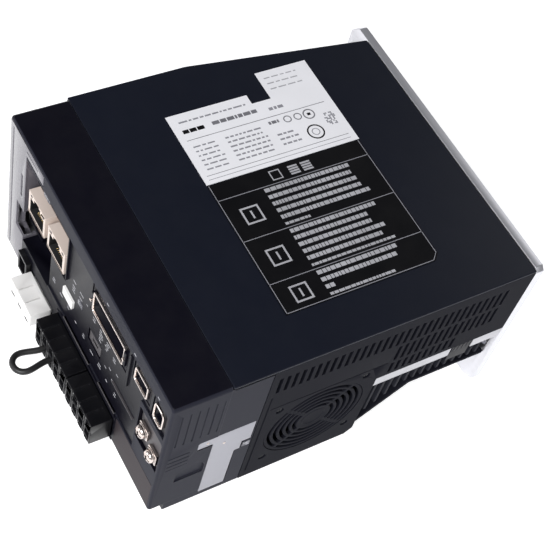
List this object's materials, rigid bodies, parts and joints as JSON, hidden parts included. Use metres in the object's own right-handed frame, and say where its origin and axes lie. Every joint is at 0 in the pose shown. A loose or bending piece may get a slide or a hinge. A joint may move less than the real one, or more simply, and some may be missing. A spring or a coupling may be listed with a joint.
{
  "type": "servo drive",
  "caption": "Book-shaped servo drive with plug-in power connectors on its front, a finned duct and fan at its end, a hinged operation cover and an aluminium mounting back.",
  "frame": {"origin": "middle of the footprint, on the surface that the drive's left side lies on", "axes": "+Y from the connector front to the mounting back, +X toward the fan end (the bottom end in a cabinet), +Z out of the right side"},
  "size_m": [0.15, 0.1987, 0.092],
  "materials": {
    "black_paint": "satin powder coat",
    "grey_plastic": "fine moulded grain",
    "black_plastic": "fine moulded grain",
    "lilac_plastic": "smooth gloss",
    "cream_plastic": "smooth",
    "white_plastic": "smooth",
    "aluminium": "brushed and cut",
    "nickel": "bright plate",
    "board_green": "solder mask",
    "can_sleeve": "shrink sleeve",
    "black_epoxy": "moulded epoxy",
    "clear_sheet": "smooth",
    "label_white": "printed film",
    "label_dark": "printed film",
    "wire_black": "satin insulation"
  },
  "bodies": {
    "chassis": {"front_housing": "black_plastic", "side_cover": "black_paint", "fan_end_panel": "grey_plastic", "finger_guard": "grey_plastic", "top_end_panel": "grey_plastic", "duct_cover": "grey_plastic", "back_plate": "aluminium", "heat_sink": "aluminium", "panel_clip": "black_plastic", "earth_bar": "aluminium", "earth_screw_upper": "nickel", "earth_screw_lower": "nickel", "fan_frame": "black_plastic", "cover_pin": "nickel", "address_switch_units": "black_plastic", "address_switch_tens": "black_plastic", "monitor_socket": "white_plastic", "display_module": "black_plastic", "network_jack_in": "cream_plastic", "network_jack_out": "cream_plastic", "status_lamp_guide": "clear_sheet", "io_socket": "black_plastic", "scale_socket": "black_plastic", "encoder_socket": "black_plastic", "io_shell": "nickel", "scale_shell": "nickel", "encoder_shell": "nickel", "serial_port": "nickel", "safety_socket": "white_plastic", "relay_socket": "black_plastic", "control_header": "black_plastic", "mains_header": "black_plastic", "motor_header": "black_plastic", "control_board": "board_green", "power_board": "board_green", "power_module": "black_epoxy", "capacitor_1": "can_sleeve", "capacitor_2": "can_sleeve", "capacitor_3": "can_sleeve", "capacitor_4": "can_sleeve", "inrush_relay": "black_epoxy", "gate_transformer": "black_epoxy", "board_post_1": "nickel", "board_post_2": "nickel", "board_post_3": "nickel", "board_post_4": "nickel", "insulating_sheet": "clear_sheet", "charge_lamp_guide": "clear_sheet", "nameplate": "label_white", "notes_label": "label_dark"},
    "cover": {"operation_cover": "lilac_plastic"},
    "fan": {"fan_rotor": "black_plastic"},
    "units_dial": {"address_dial_units": "cream_plastic"},
    "tens_dial": {"address_dial_tens": "cream_plastic"},
    "control_plug": {"control_plug": "white_plastic"},
    "mains_plug": {"mains_plug": "black_plastic", "jumper_wire": "wire_black"},
    "motor_plug": {"motor_plug": "black_plastic"}
  },
  "joints": [
    {"name": "cover_hinge", "type": "hinge", "parent": "chassis", "child": "cover", "pos_m": [-0.0724, -0.0768, 0.048], "axis": [0, 0, -1], "range_deg": [0, 90]},
    {"name": "fan_spin", "type": "hinge", "parent": "chassis", "child": "fan", "pos_m": [0.066, -0.008, 0.035], "axis": [1, 0, 0], "continuous": true},
    {"name": "units_dial_turn", "type": "hinge", "parent": "chassis", "child": "units_dial", "pos_m": [-0.067, -0.07, 0.053], "axis": [0, 1, 0], "continuous": true},
    {"name": "tens_dial_turn", "type": "hinge", "parent": "chassis", "child": "tens_dial", "pos_m": [-0.067, -0.07, 0.0635], "axis": [0, 1, 0], "continuous": true},
    {"name": "control_plug_pull", "type": "slide", "parent": "chassis", "child": "control_plug", "axis": [0, -1, 0], "range_m": [0, 0.012]},
    {"name": "mains_plug_pull", "type": "slide", "parent": "chassis", "child": "mains_plug", "axis": [0, -1, 0], "range_m": [0, 0.012]},
    {"name": "motor_plug_pull", "type": "slide", "parent": "chassis", "child": "motor_plug", "axis": [0, -1, 0], "range_m": [0, 0.012]}
  ]
}
